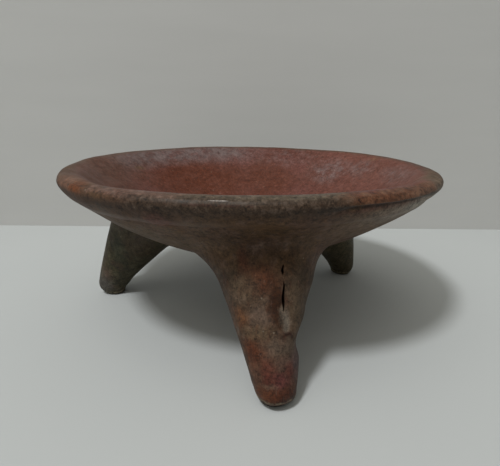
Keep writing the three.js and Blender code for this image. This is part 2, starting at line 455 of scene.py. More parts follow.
def rim_wave(x, y):
    """How far the wall stands out and up from a true circle there, in mm."""
    turn = Vector((x, y)).angle_signed(Vector((1, 0)), 0) + view_turn
    share = (hypot(x, y) / (rim_radius * MM)) ** 2
    out, up = (sum(height * kind(often * turn) for often, kind, height in waves)
               for waves in (outward_waves, upward_waves))
    return out * share, min(up, highest_wave) * share


def make_uneven(piece, swell_mm=0.9, dent_mm=0.35):
    """Gives a piece the rim's wave, which grows from the table up, then swells and dents."""
    for vertex in piece.data.vertices:
        x, y, z = vertex.co
        out, up = rim_wave(x, y)
        around = Vector((x, y, 0)).normalized()
        vertex.co += (around * out + Vector((0, 0, up))) * MM * min(1, max(0, z) / (wavy_above * MM))
    displace(piece, finger_swells, swell_mm)
    displace(piece, pebble_dents, dent_mm)
    for vertex in piece.data.vertices:
        vertex.co.z = min(max(vertex.co.z, 0), top_limit * MM)
    pick(piece)
    bpy.ops.object.shade_smooth_by_angle(angle=radians(45))


print("rim wave at the front:", [round(v, 2) for v in rim_wave(0, -0.11)], "mm")

# %% [markdown]
# Where the hand did something in one place only, a brush does it: points near a place are moved a
# little, most in the middle and not at all at the brush's edge.

# %% Helper: a brush
def brush(piece, place, size, move, deep=1):
    """Moves the points within size of a place, all in mm. A deep brush reaches further along its x."""
    place, move = Vector(place) * MM, Vector(move) * MM
    for vertex in piece.data.vertices:
        offset = vertex.co - place
        offset.x /= deep
        near = 1 - offset.length / (size * MM)
        if near > 0:
            vertex.co += move * near * near * (3 - 2 * near)


print("brush ready")

# %% [markdown]
# ## The frame's main curves
# The dish's underside and inside start flat and climb ever more steeply, and a leg's oval section
# grows from its toe to its root. These curves are the measured frame's own, so that the detailed
# pieces lie on it. Only the toe differs: it is drawn as it has worn down.

# %% Curves of the dish and the legs
# Radius and height of the end of the flat, then of the wall's top edge.
underside_ends, inside_ends, wall_curve = (22, 45, 107.05, 87.2), (20, 53.5, 92.8, 90.7), 1.65


def rise(radius, flat_radius, flat_height, edge_radius, edge_height):
    climb = max(0.0, radius - flat_radius) / (edge_radius - flat_radius)
    return flat_height + (edge_height - flat_height) * climb ** wall_curve


def underside(radius):
    return rise(radius, *underside_ends)


def inside(radius):
    return rise(radius, *inside_ends)


def blend(a, b, t):
    return a + (b - a) * t


# Height, outward reach, inward reach and half width up the toe, which is worn off outwards.
toe = [(0, 103, 93.2, 6.6), (0.2, 103.7, 92.6, 7.2), (0.6, 104.2, 92.2, 7.6), (1.2, 104.6, 91.9, 8),
       (2, 105.5, 91.7, 8.4), (3, 106.8, 91.4, 8.8), (4.2, 108.2, 90.7, 9.1), (5.6, 109.2, 89.4, 9.3),
       (7, 109.6, 88.2, 9.4), (8, 109.7, 87.3, 9.4)]


# Reach of the middle, half depth and half width of the leg at two heights.
toe_top, root_height, leg_curve = 8, 55, 1.15
section_at_toe, section_at_root = (98.5, 11.2, 9.4), (64.5, 30, 25.5)


def leg_section(height):
    """Reach of the middle, half depth and half width of a leg's outer skin at a height."""
    for low, high in zip(toe, toe[1:]):
        if height <= high[0]:
            share = (height - low[0]) / (high[0] - low[0])
            outward, inward, width = (blend(a, b, share) for a, b in zip(low[1:], high[1:]))
            return (outward + inward) / 2, (outward - inward) / 2, width
    grown = ((height - toe_top) / (root_height - toe_top)) ** leg_curve
    return tuple(blend(a, b, grown) for a, b in zip(section_at_toe, section_at_root))


print("leg root, half depth and half width:", leg_section(root_height)[1:], "mm")

# %% [markdown]
# ## The dish
# The potter would beat or pinch the dish over a mould. Here one ring starts in the middle of the
# underside and is extruded outwards and up, over the wall's top edge, and down the inside again to
# the middle. One closed skin is made, with a real wall between its two faces.

# %% Make the dish
def steps_between(start, end, count):
    return [blend(start, end, i / count) for i in range(count + 1)]


flat_radii = [1.5, 5, 9, 13, 17, 20]
top_edge = ((103, 86.4), (102.2, 89), (100.2, 91.2), (97, 91.6), (94.4, 91.3), (93, 90.6))
out_radii = flat_radii + [22] + steps_between(25, 103.2, 35)
in_radii = steps_between(91.6, 22, 34) + flat_radii[::-1]
dish_rings = [(0, 0, r, r, underside(r)) for r in out_radii]
dish_rings += [(0, 0, r, r, z) for r, z in top_edge]
dish_rings += [(0, 0, r, r, inside(r)) for r in in_radii]
dish = build_rings("burnished_dish", dish_rings, 224)
print("dish faces:", len(dish.data.polygons))
make_uneven(dish)
flatter_left = ((-88, -50, 85), 34, (0.4, 0.25, 0.45))
brush(dish, *flatter_left)

# %% [markdown]
# ## The lip
# A roll of clay was laid along the wall's top edge and pressed over it. Its crest is full, its
# outer shoulder is tight, and at the front right its lower edge was never smoothed away, so a small
# undercut shows there as a dark line. Two sections are written down, and the roll passes from the
# one to the other round the rim. Both tails end just inside the wall, so no edge shows. At the
# right, brushes fill the roll out a little and thin it and the wall from below.

# %% Make the lip
inner_part = [(85, 83.4), (88, 86.55), (90.4, 88.75), (92.6, 90.7), (95, 92.55), (97.2, 94.2),
              (99.4, 95.5), (101.4, 96.35), (103.2, 96.7), (105.2, 96.6), (107, 96.15), (108.3, 95.7),
              (109.2, 94.8), (109.7, 93.8), (109.85, 92.8)]
hidden_part = [(101, 84.5), (98, 86.6), (93, 85.4), (87.6, 83.2)]
smoothed_edge = [(109.6, 91.6), (108.9, 90.2), (107.9, 88.75), (106.9, 87.55), (106, 86.5), (105.4, 85.85),
                 (104.8, 85.3), (102.6, 83.5), (100.6, 82.3)]
undercut_edge = [(109.75, 92.7), (109.2, 92.3), (108.5, 92.2), (107.9, 91.8), (107.8, 91), (107.6, 89.6),
                 (106.8, 87.9), (104.8, 85.3), (100.6, 82.3)]
smoothed_lip = rounded_line(inner_part + smoothed_edge + hidden_part, 2)
undercut_lip = rounded_line(inner_part + undercut_edge + hidden_part, 2)


def ease(value, low, high):
    t = min(1.0, max(0.0, (value - low) / (high - low)))
    return t * t * (3 - 2 * t)


def undercut_share(degrees):
    """How far the lip's lower edge is undercut, by the angle round the rim."""
    right_side = ease(degrees, -84, -72) * (1 - ease(degrees, -54, -40))
    behind = 0.5 * ease(degrees, 85, 100) * (1 - ease(degrees, 120, 140))
    return max(right_side, behind)


def lip_place(along, around):
    degrees = along * 360 - 180
    share = undercut_share(degrees)
    (r1, z1), (r2, z2) = smoothed_lip[around], undercut_lip[around]
    radius, height = blend(r1, r2, share), blend(z1, z2, share)
    return radius * cos(radians(degrees)), radius * sin(radians(degrees)), height


lip = press_roll("rolled_lip", 256, len(smoothed_lip), lip_place)
make_uneven(lip, dent_mm=0.45)
brush(lip, *flatter_left)
fuller_right = ((101, -42, 92), 26, (0.7, -0.3, 0))
thinner_right = ((83, -67, 83), 15, (-0.8, 0.6, 1.8))
brush(lip, *fuller_right)
brush(lip, *thinner_right)
brush(dish, *thinner_right)
print("lip faces:", len(lip.data.polygons))

# %% [markdown]
# ## The legs
# Each leg is a hollow cone, luted under the dish while the clay was stiff. One is built up in oval
# rings along +X, then copied and turned to its three places. The front leg gets what its own
# hand did to it: a worn groove below the slit that ends against a small bulge.

# %% Build one leg's outer skin
leg_heights = ([height for height, *_ in toe[:-1]] + steps_between(toe_top, 60, 44)
               + [62, 64.5, 67, 70, 73, 76, 80, 84])


def leg_ring(height):
    reach, depth, width = leg_section(height)
    return reach, 0, depth, width, height


def refine(piece, wanted, cuts):
    """Divides the faces whose middles, in mm, pass the test."""
    pick(piece)
    bpy.ops.object.mode_set(mode="EDIT")
    bpy.ops.mesh.select_mode(type="FACE")
    bpy.ops.mesh.select_all(action="DESELECT")
    bpy.ops.object.mode_set(mode="OBJECT")
    for face in piece.data.polygons:
        face.select = wanted(*(face.center / MM))
    bpy.ops.object.mode_set(mode="EDIT")
    bpy.ops.mesh.subdivide(number_cuts=cuts, smoothness=1)
    bpy.ops.object.mode_set(mode="OBJECT")


leg_skin = build_rings("leg_skin", [leg_ring(h) for h in leg_heights], 128)
refine(leg_skin, lambda x, y, z: x > 80 and -1 < y < 9.5 and 40 < z < 69, 1)
leg_skins = {"front": leg_skin, "left": copy_piece(leg_skin, "leg_left_skin"),
             "right": copy_piece(leg_skin, "leg_right_skin")}
leg_turns = {"front": -90, "left": 160.8, "right": 33.2}
print("leg faces:", len(leg_skin.data.polygons))

# %% [markdown]
# The groove and the bulge of the front leg are brushed in. The skin gets finer faces there first,
# because a brush can't shape what has no points. The leg's right side is pinched in below half its
# height and swells again above the toe, which is narrower on the left and wider on the right. The
# left leg's toe gets one stroke too.

# %% Work the face of the front leg
front_skin = leg_skins["front"]
refine(front_skin, lambda x, y, z: x > 88 and -4 < y < 12 and 24 < z < 40, 2)


def leg_face(y, z):
    """The point of a leg's outward face at a place across it and a height."""
    reach, depth, width = leg_section(z)
    return reach + depth * sqrt(max(0, 1 - (y / width) ** 2)), y, z


slit_across, groove_top, groove_length, bulge_height = 4.3, 46, 9.5, 34.6
for share in steps_between(0, 1, 12):
    groove = leg_face(slit_across + 0.5 * share, groove_top - groove_length * share)
    brush(front_skin, groove, 3.4, (-0.20, 0, -0.06))
for y in (2.4, 3.6, 4.8, 6, 7.2):
    brush(front_skin, leg_face(y, bulge_height), 2.6, (0.30, 0, 0.12))
for y, z, size, move in ((5.8, 31, 8, (0.75, 0, 0.1)), (-6.5, 45, 9, (-0.5, 0, 0)),
                         (-3, 30, 9, (-0.35, 0, 0))):
    brush(front_skin, leg_face(y, z), size, move)
pinches = (((80, 18.5, 40), 12, -1.3), ((87, 15, 27.5), 11, -3.2), ((92, 12.2, 16), 8, 0.9),
           ((99, 9.4, 9), 10, 1.6), ((101, -7.5, 2), 9, 1.8), ((101, 7.5, 2), 8, 1))
for place, size, across in pinches:
    brush(front_skin, place, size, (0, across, 0), deep=2.5)
brush(leg_skins["left"], (98, 8, 0), 9, (0, -1.5, 0))
print("front leg's skin:", len(front_skin.data.polygons), "faces")

# %% [markdown]
# Now the skins are turned to their places and made uneven, and then they are hollowed. Cutting
# comes last, so that the walls of the cuts stay crisp. The chamber's floor is rounded, as a
# finger leaves it, and wide enough for the pellets. Its top is open to the dish.

# %% Hollow the legs and trim them to the dish
chamber_shift, lean_wall, side_wall = 1.36, 7.66, 6.34
floor_shares = ((14, 0.4), (14.1, 0.7), (14.9, 1), (16.4, 1.12), (19, 1.1), (24, 1.04))
into_dish, trim_radius, trim_top = 1.6, 112, 140


def chamber_ring(height, share):
    """A wall's thickness in from the leg's section. The share rounds the floor."""
    reach, depth, width = leg_section(height)
    return reach + chamber_shift, 0, (depth - lean_wall) * share, (width - side_wall) * share, height


chamber_rings = [chamber_ring(z, share) for z, share in floor_shares]
chamber_rings += [chamber_ring(z, 1) for z in (*range(30, 79, 6), 86, 98)]
trim_radii = [2, 10, 20] + steps_between(25, trim_radius, 44)
above_rings = [(0, 0, r, r, underside(r) + into_dish) for r in trim_radii]
above_rings.append((0, 0, trim_radius, trim_radius, trim_top))
legs = {}
for side, skin in leg_skins.items():
    turn_piece(skin, leg_turns[side])
    make_uneven(skin)
    cut(skin, turn_piece(build_rings("chamber", chamber_rings, 48), leg_turns[side]))
    cut(skin, build_rings("dish_above", above_rings, 160))
    skin.name = f"hollow_leg_{side}"
    legs[side] = skin
    print(skin.name, len(skin.data.polygons), "faces")

# %% [markdown]
# ## The slits
# Each leg has a narrow upright slit, so that the pellets inside can be heard. It was cut with a thin
# blade in the leather-hard clay, so its edges wander and its ends taper. The front leg's slit was
# cut in two strokes, which left a small bridge of clay between them.

# %% Cut the slits
blade_inset, blade_depth = 3.5, 12


def blade(low, high, half_width, lean):
    """A thin, slightly wavy blade through a leg's outer wall."""
    rings = []
    for share in steps_between(0, 1, 10):
        z = blend(low, high, share)
        taper = min(1, 0.25 + 3.2 * min(share, 1 - share)) * (1 - 0.3 * share)
        wave = 0.22 * sin(9 * share + lean) + lean * (share - 0.5)
        x = leg_face(slit_across, z)[0] - blade_inset
        rings.append((x, slit_across + wave, blade_depth, half_width * taper, z))
    return build_rings("blade", rings, 20)


# Low end, high end, half width and lean of each stroke.
slit_strokes = {"front": [(43.5, 56.4, 0.85, 0.5), (58.8, 63.4, 0.75, 0.25)],
                "left": [(44.1, 63.6, 0.72, -0.4)], "right": [(44.4, 63.3, 0.78, 0.7)]}
for side, strokes in slit_strokes.items():
    blades = [blade(*stroke) for stroke in strokes]
    pick(blades[0])
    if len(blades) > 1:
        blades[1].select_set(True)
        bpy.ops.object.join()
    cut(legs[side], turn_piece(blades[0], leg_turns[side]))
    pick(legs[side])
    bpy.ops.object.shade_smooth_by_angle(angle=radians(38))
print("slits cut in", len(legs), "legs")

# %% [markdown]
# ## The root fillets
# Soft clay was smeared round each leg's root. It is thin on the outer side, where the wall leans
# away, and thick on the inner side. Each is a roll pressed into the corner between leg and dish:
# first the corner's line is found, then a curve is drawn that leaves the leg and meets the dish
# without a kink. Its thin ends run just under the two surfaces.

# %% Make the root fillets
def corner_height(turn):
    """Where a leg's skin meets the dish's underside, in that direction round the leg."""
    low, high = 40.0, 92.0
    for _ in range(30):
        middle = (low + high) / 2
        reach, depth, width = leg_section(middle)
        if middle < underside(hypot(reach + depth * cos(turn), width * sin(turn))):
            low = middle
        else:
            high = middle
    return low


def on_leg(turn, height, inset=0.0):
    reach, depth, width = leg_section(height)
    return Vector((reach + (depth - inset) * cos(turn), (width - inset) * sin(turn), height))


def under_dish(point, raised=0.0):
    return Vector((point.x, point.y, underside(hypot(point.x, point.y)) + raised))


outer_size, inner_size, fillet_curve, curve_points = 3.2, 13, 0.35, 13


def fillet_place(along, around):
    """A point of the roll: first its thin end on the leg, then the curve, the other end, the back."""
    turn = along * 2 * pi
    size = blend(outer_size, inner_size, ((1 - cos(turn)) / 2) ** fillet_curve)
    size *= 1 + 0.06 * sin(3 * turn + 1) + 0.04 * sin(7 * turn)
    top = corner_height(turn)
    corner = on_leg(turn, top)
    _, depth, width = leg_section(top)
    outward = Vector((cos(turn) / depth, sin(turn) / width, 0)).normalized()
    foot, end = on_leg(turn, top - size), under_dish(corner + outward * size)
    thin = 0.28 * size + 0.6
    if around == 0:
        return on_leg(turn, top - size - thin, 0.3)
    if around <= curve_points:
        t = (around - 1) / (curve_points - 1)
        return foot * (1 - t) ** 2 + corner * 2 * t * (1 - t) + end * t ** 2
    if around == curve_points + 1:
        return under_dish(corner + outward * (size + thin), 0.3)
    hidden = (under_dish(corner + outward * size * 0.6, 1.6), under_dish(corner - outward * 0.5, 1.8),
              on_leg(turn, top - 0.3 * size, 1.8), on_leg(turn, top - size, 1.4))
    return hidden[around - curve_points - 2]


fillets = {}
fillet = press_roll("root_fillet", 128, curve_points + 6, fillet_place)
for side, degrees in leg_turns.items():
    piece = copy_piece(fillet, f"smeared_root_{side}")
    turn_piece(piece, degrees)
    make_uneven(piece)
    fillets[side] = piece
for place in ((-28, -62, 58), (-26, -76, 60)):
    brush(fillets["front"], place, 15, (-1.1, 0, -0.5))
bpy.data.objects.remove(fillet)
print("fillets:", ", ".join(piece.name for piece in fillets.values()))

# %% [markdown]
# ## The pellets
# Two small balls of fired clay lie in each leg, and rattle when the bowl is moved. They were rolled
# between two fingers, so they are never true spheres. A ball of triangles is divided evenly, and
# then dented a little.

# %% Make the pellets
size_share, flatter_x, flatter_y = 0.95, 0.97, 0.99  # so that the dents stay inside the frame's ball
pellets = {}
for node in sorted(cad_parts):
    if node.endswith(("_pellet_front", "_pellet_left", "_pellet_right")):
        low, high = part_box(node)
        middle, half = (Vector(low) + Vector(high)) / 2, (Vector(high) - Vector(low)) / 2
        begin()
        bpy.ops.mesh.primitive_ico_sphere_add(subdivisions=4, radius=min(half) * size_share,
                                              location=middle)
        ball = bpy.context.object
        ball.name = f"rolled_{node}"
        bpy.ops.object.transform_apply(location=True, rotation=False, scale=False)
        for vertex in ball.data.vertices:
            arm = vertex.co - middle
            arm.x *= flatter_x
            arm.y *= flatter_y
            vertex.co = middle + arm
        displace(ball, soft_lumps(f"{node}_dents", 2.4), 0.22)
        bpy.ops.object.shade_smooth_by_angle(angle=radians(60))
        pellets[node] = ball
print("pellets:", len(pellets))

# %% [markdown]
# ## What the surface is made of
# The bowl was coated with a red slip, a cream of fine red clay, and rubbed with a pebble before it
# was fired. Smoke then darkened the outside to brown and purple-grey. Use has worn it: the slip is
# thin and orange where hands took the rim, and a pale lilac-grey bloom of lime has grown over it.
# So the material is built in that order. Every layer is a colour and a mask, and a mask is a number
# from 0 to 1 that says how much of the layer shows.

# %% Colours of the clay, the slip and the bloom
red_slip = (88, 48, 37)
brick_slip = (83, 38, 17)
rose_slip = (101, 60, 54)
orange_clay = (95, 50, 20)
ochre_clay = (104, 80, 48)
smoked_brown = (82, 60, 40)
smoked_purple = (76, 55, 47)
soot_and_shade = (40, 28, 16)
tan_clay = (92, 78, 60)
grey_clay = (84, 70, 60)
olive_grey = (58, 52, 34)
bloom = (102, 90, 89)
pale_scuff = (132, 122, 108)
print("slip, linear:", [round(c, 3) for c in srgb(*red_slip)[:3]])

# %% [markdown]
# ## Masks
# A patch has a middle and a reach along x, y and z, in millimetres. Its outline would be an egg, so
# the place that it reads is first pushed about by noise: that makes it the ragged edge of a stain.
# A stretch is a patch that follows the rim from one angle to another. Streaks are noise that has
# been drawn out round the bowl, along the strokes of the pebble.

# %% Helpers for masks
class Surface(Net):
    """A material that reads the place on the bowl, in millimetres."""

    def __init__(self, name):
        super().__init__(name)
        metres = self.add("TexCoord").outputs["Object"]
        self.place = self.add("VectorMath", {"operation": "SCALE"},
                              {0: metres, "Scale": 1 / MM}).outputs["Vector"]
        self.ragged = self.pushed(self.pushed(self.place, 14, 9), 3.6, 4)
        x, y, z = self.add("SeparateXYZ", None, {0: self.place}).outputs
        self.x, self.y, self.z = Value(self, x), Value(self, y), Value(self, z)
        self.radius = (self.x * self.x + self.y * self.y) ** 0.5
        self.around = self.add("CombineXYZ", None,
                               {0: self.x / self.radius, 1: self.y / self.radius, 2: 0}).outputs[0]
        self.mottle = self.noise(self.place, 5, detail=6, roughness=0.66, seed=2)
        self.grain = self.noise(self.place, 2.2, detail=5, roughness=0.68, seed=7)
        self.sand = self.noise(self.place, 0.8, detail=3, roughness=0.7, seed=8)

    def pushed(self, place, size_mm, push_mm):
        cloud = self.add("TexNoise", None, {"Vector": place, "Scale": 1 / size_mm, "Detail": 3})
        push = self.vector("SUBTRACT", cloud.outputs["Color"], (0.5, 0.5, 0.5))
        push = self.vector("MULTIPLY", push, (push_mm, push_mm, push_mm))
        return self.vector("ADD", place, push)

    def patch(self, middle, reach, soft=0.35):
        """1 in the middle of a ragged stain and 0 outside it."""
        offset = self.vector("SUBTRACT", self.ragged, middle)
        offset = self.vector("DIVIDE", offset, reach)
        return Value(self, self.vector("LENGTH", offset)).smooth(1 + soft, 1 - soft)

    def stretch(self, from_degrees, to_degrees, soft):
        """The sector between two angles, seen from above, with soft ends."""
        middle, half = radians((from_degrees + to_degrees) / 2), (to_degrees - from_degrees) / 2
        along = Value(self, self.vector("DOT_PRODUCT", self.around, (cos(middle), sin(middle), 0)))
        wobble = (self.mottle - 0.5) * 0.09
        return (along + wobble).smooth(cos(radians(half + soft)), cos(radians(max(0, half - soft))))

    def streaks(self, fine_mm, turns, seed):
        """Noise drawn out round the bowl: narrow across the strokes and long along them."""
        across = (self.radius * 0.8 + self.z) / fine_mm
        drawn = self.add("CombineXYZ", None, {
            0: self.x / self.radius * turns, 1: self.y / self.radius * turns, 2: across}).outputs[0]
        return self.noise(drawn, 1, detail=3, seed=seed)

    def upright_streaks(self, fine_mm, long_mm, seed):
        drawn = self.vector("DIVIDE", self.place, (fine_mm, fine_mm, long_mm))
        return self.noise(drawn, 1, detail=4, seed=seed)

    def coated(self, colour, *coats):
        """The colour under coats of others. A coat is how much of it shows, and its colour."""
        for share, other in coats:
            colour = self.mix(share, colour, other)
        return colour

    def toned(self, colour, tone):
        return self.add("VectorMath", {"operation": "SCALE"}, {0: colour, "Scale": tone}).outputs[0]

    def finish(self, colour, roughness, height_mm, gloss=0.3):
        bump = self.add("Bump", None, {"Height": height_mm, "Distance": MM, "Strength": 1.0})
        shader = self.add("BsdfPrincipled", None, {
            "Base Color": colour, "Roughness": roughness, "Normal": bump.outputs[0],
            "Specular IOR Level": gloss})
        self.add("OutputMaterial", None, {"Surface": shader.outputs[0]})
        return self.material


print("masks ready")

# %% [markdown]
# ## The inside
# The red slip shows best here. Its tone drifts from brick red in the middle to rose and tan at the
# right. A soft grey haze of lime follows the far rim, with a few blotches lower down.

# %% Colour of the inside
def inside_colour(s):
    drift = s.noise(s.place, 24, detail=3, seed=1).smooth(0.38, 0.62)
    far_rim = s.stretch(86, 150, 14) * s.z.smooth(83, 92)
    blotch = s.patch((69, 53, 82), (14, 16, 9), 0.6)
    flecks = s.patch((44, 82, 92), (24, 14, 7), 0.6)
    right_haze = s.patch((91, -12, 90), (12, 20, 6), 0.6) + s.patch((84, 31, 88), (12, 12, 6), 0.6)
    haze = blotch * 0.75 + flecks * 0.4 + right_haze * 0.6 + 0.1
    bare = s.streaks(2.4, 8, seed=3).smooth(0.52, 0.72) * s.grain.smooth(0.42, 0.6)
    return s.coated(
        red_slip,
        (drift * 0.55, rose_slip),
        (s.patch((-32, 66, 74), (44, 30, 15), 0.5) * 0.9, brick_slip),
        (s.patch((26, 68, 76), (17, 30, 14), 0.5) * 0.75, brick_slip),
        (s.x.smooth(40, 92) * 0.75, (107, 66, 55)),
        (s.x.smooth(-55, -92) * 0.6, (90, 65, 52)),
        (far_rim * (s.mottle.smooth(0.3, 0.6) * 0.55 + 0.3), bloom),
        (haze * s.mottle.smooth(0.34, 0.68) * 0.9, bloom),
        (haze * s.grain.smooth(0.52, 0.68) * 0.4, (116, 100, 98)),
        (bare * 0.35, rose_slip),
        (s.patch((-71, 50, 87), (3, 3, 2), 0.6) * 0.35, ochre_clay),
        (s.patch((92, 30, 95), (4, 3, 2), 0.6) * 0.35, ochre_clay))


print("colour of the inside ready")

# %% [markdown]
# ## The outside
# Smoke made it brown, darker and more purple in the middle of the front, and lighter tan low at the
# left. Along the right under the rim it is painted paler, as light thrown up from the table would
# make it. Red slip still glows through on the front leg.

# %% Colour of the outside
def outside_colour(s):
    drift = s.noise(s.place, 22, detail=3, seed=5).smooth(0.38, 0.62)
    tan = (s.patch((-56, -60, 70), (26, 30, 11), 0.6) * 0.6
           + s.noise(s.place, 16, detail=4, seed=6).smooth(0.54, 0.72) * 0.35)
    return s.coated(
        smoked_brown,
        (drift * 0.7, smoked_purple),
        (s.patch((-4, -92, 75), (22, 14, 9), 0.7) * 0.5, soot_and_shade),
        (tan, tan_clay),
        # Painted light: the wall at the right under the rim is made paler, as light thrown up from the lit
        # table would make it.
        (s.patch((58, -78, 81), (40, 28, 13), 0.5) * 0.9, (100, 82, 66)),
        (s.patch((60, -88, 86), (24, 15, 8), 0.6) * 0.8, (120, 108, 96)),
        (s.patch((70, -84, 90), (12, 12, 6), 0.6) * 0.7, (148, 142, 130)),
        (s.patch((-48, -92, 86), (5, 6, 9)) * 0.45, rose_slip),
        (s.mottle.smooth(0.5, 0.62) * 0.35, (78, 60, 54)),
        (s.mottle.smooth(0.56, 0.70) * 0.4, grey_clay))


print("colour of the outside ready")

# %% [markdown]
# ## Grain, dots and scratches
# Coarse clay has grains that stand out when the slip wears, tiny lime dots, and pits. These change
# the tone of every layer alike, and they feed the bump too, so that a pit is both dark and deep.

# %% Fine surface detail
def fine_detail(s, colour, depth=1.0):
    """The colour with its grain, and the masks of the dots and the pits."""
    tone = (1 + (s.sand - 0.5) * (1.7 * depth) + (s.grain - 0.5) * (1.9 * depth)
            + (s.mottle - 0.5) * (0.9 * depth))
    cells = s.add("TexVoronoi", {"feature": "F1"}, {"Vector": s.place, "Scale": 1 / 5})
    lot = Value(s, s.add("SeparateColor", None, {0: cells.outputs["Color"]}).outputs[0])
    dot = Value(s, cells.outputs["Distance"]).smooth(0.10, 0.05) * lot.smooth(0.72, 0.78)
    pit = s.grain.smooth(0.36, 0.29)
    worn_grain = s.grain.smooth(0.66, 0.74)
    colour = s.coated(s.toned(colour, tone), (dot * 0.5, pale_scuff), (pit * 0.36, soot_and_shade),
                      (worn_grain * 0.3, pale_scuff))
    return colour, dot, pit


def burnished(s, roughness):
    """A roughness that drifts with wear."""
    wear = s.noise(s.place, 11, detail=3, seed=10).smooth(0.35, 0.68)
    return wear * 0.14 + s.sand.smooth(0.45, 0.7) * 0.12 + roughness


def relief(s, dot, pit, coarse):
    """The height of the pebble's strokes, of the grain, the dots and the pits, in mm."""
    return (s.streaks(1.5, 5, seed=9) * 0.10 + s.grain * (0.18 * coarse) + s.sand * 0.05
            + dot * 0.04 - pit * 0.08)


print("fine detail ready")

# %% [markdown]
# A face of the dish belongs to the inside if it lies above the middle of the wall.

# %% The dish's two materials
def dish_side(name, colour_of, roughness, coarse, gloss):
    s = Surface(name)
    colour, dot, pit = fine_detail(s, colour_of(s), coarse)
    return s.finish(colour, burnished(s, roughness), relief(s, dot, pit, coarse), gloss)


def cover(piece, *materials):
    """Gives a piece these materials and no others."""
    piece.data.materials.clear()
    for material in materials:
        piece.data.materials.append(material)


cover(dish, dish_side("red_burnished_inside", inside_colour, 0.46, 1, 0.26),
      dish_side("smoked_outside", outside_colour, 0.56, 1.6, 0.2))
for face in dish.data.polygons:
    x, y, z = face.center / MM
    r = hypot(x, y)
    face.material_index = 0 if z > (underside(r) + inside(r)) / 2 else 1
print("dish: outside faces", sum(face.material_index for face in dish.data.polygons))

# %% [markdown]
# ## The lip
# Hands and stacking have worn the lip most. It is orange at the left, pink and then grey-beige along
# the front, and brown at the right. Shade is painted on its outer face and under it, and a dark line of
# painted shade and some grime where it meets the wall. Its crest was rubbed the smoothest, so it takes
# a thin bright line from the lamp, and a short glint is painted on it at the front.

# %% Coats of the lip
def lip_top_coats(s, over):
    """Grey-beige in front, pink beside it, brown at the right and orange at the left."""
    light, dark = s.mottle.smooth(0.44, 0.62), s.grain.smooth(0.5, 0.36)
    top = (s.z + (s.mottle - 0.5) * 5).smooth(93.6, 96) * over.smooth(97, 103)
    front, pink = s.stretch(-118, -74, 4) * top, s.stretch(-136, -112, 5) * top
    brown = s.stretch(-76, -44, 5) * s.z.smooth(91.5, 93) * over.smooth(104, 107)
    return ((front * 0.9, (84, 72, 60)),
            (front * light * 0.5, (104, 94, 84)),
            (front * dark * 0.5, (60, 49, 36)),
            (front * s.stretch(-92, -76, 5) * 0.5, (70, 60, 48)),
            (pink * 0.8, (95, 68, 58)),
            (pink * light * 0.4, (106, 90, 82)),
            (brown * 0.85, (88, 54, 36)),
            (brown * light * 0.6, (104, 77, 60)),
            (s.patch((-92, -58, 94), (14, 18, 8), 0.5) * 0.7, (104, 72, 56)),
            (s.patch((-87, -67, 94), (7, 7, 4), 0.5) * 0.85, orange_clay),
            (s.patch((31, -105, 92.5), (5, 4, 2.2), 0.5) * 0.5, ochre_clay),
            (s.patch((90, -64, 94), (12, 12, 6), 0.6) * 0.45, (98, 85, 68)))


def lip_edge_shade_and_glint(s, outer):
    """Painted shade under the lip, on its outer face, along a line under the crest and in the groove,
    where there is some grime too, and a painted glint on the crest.
    """
    # Painted shade: the wall just under the lip is darkened where the lip shades it.
    under = outer * s.z.smooth(94.2, 91.4) * s.z.smooth(82.5, 92) * s.stretch(-158, -76, 7)
    # Painted shade: the lip's outer face at the front, which turns away from the lamp, is darkened.
    shaded_outer_face = (outer * (s.z + (s.mottle - 0.5) * 3).smooth(96.5, 95.2) * s.z.smooth(88, 93)
             * s.stretch(-124, -75, 4))
    # Painted shade: a dark line just under the crest.
    crest_shade_line = s.z.smooth(94.6, 94) * s.z.smooth(93, 93.6) * s.stretch(-110, -98, 3)
    # Painted shade with some grime: the dark line in the groove where the lip meets the wall.
    groove = outer * s.z.smooth(92.8, 92.2) * s.z.smooth(90, 91.2) * s.stretch(-82, -40, 7)
    # Painted highlight: a short bright glint on the crest at the front.
    painted_glint = (outer * s.x.smooth(-29, -26) * s.x.smooth(-20, -22) * s.z.smooth(95.25, 95.4)
              * s.z.smooth(95.75, 95.6))
    return ((under * 0.8, (56, 41, 30)),
            (shaded_outer_face * 0.85, (57, 44, 34)),
            (shaded_outer_face * s.grain.smooth(0.5, 0.62) * 0.4, (84, 72, 64)),
            (crest_shade_line * 0.5, (50, 24, 18)),
            (groove * 0.7, (34, 24, 16)),
            (painted_glint * 0.8, (158, 150, 144)))


print("coats of the lip ready")

# %% [markdown]
# The lip starts with the outside's colour, and takes the inside's where it turns in over the rim.

# %% Material of the lip
def lip_material():
    s = Surface("worn_lip_with_painted_shade")
    over = s.radius + (s.mottle - 0.5) * 9
    outer = s.radius.smooth(103, 106)
    turned_in = s.z.smooth(88, 91) * (over - s.stretch(-78, -40, 5) * 6.5).smooth(105, 98)
    turned_in = turned_in + s.radius.smooth(100, 98.5)
    # The edge coats paint shade under the lip and a glint on its crest.
    colour = s.coated(outside_colour(s), (turned_in, inside_colour(s)), *lip_top_coats(s, over),
                      *lip_edge_shade_and_glint(s, outer))
    colour, dot, pit = fine_detail(s, colour, outer * 0.6 + 1)
    crest = s.z.smooth(94.5, 95.8) * s.stretch(-130, -60, 12)
    rough = burnished(s, 0.45) + outer * s.z.smooth(94, 90) * 0.11 - crest * 0.08
    return s.finish(colour, rough, relief(s, dot, pit, outer * 0.4 + 1), 0.23)


cover(lip, lip_material())
print("lip material ready")

# %% [markdown]
# ## The legs
# The front leg keeps some of its red slip, in upright streaks, under a brown grime and a mottled
# bloom. The left leg was smoked to a dark olive grey. Each toe is rubbed pale round its edge, and
# below that a dark band is painted as shade where it meets the table, with some dirt.

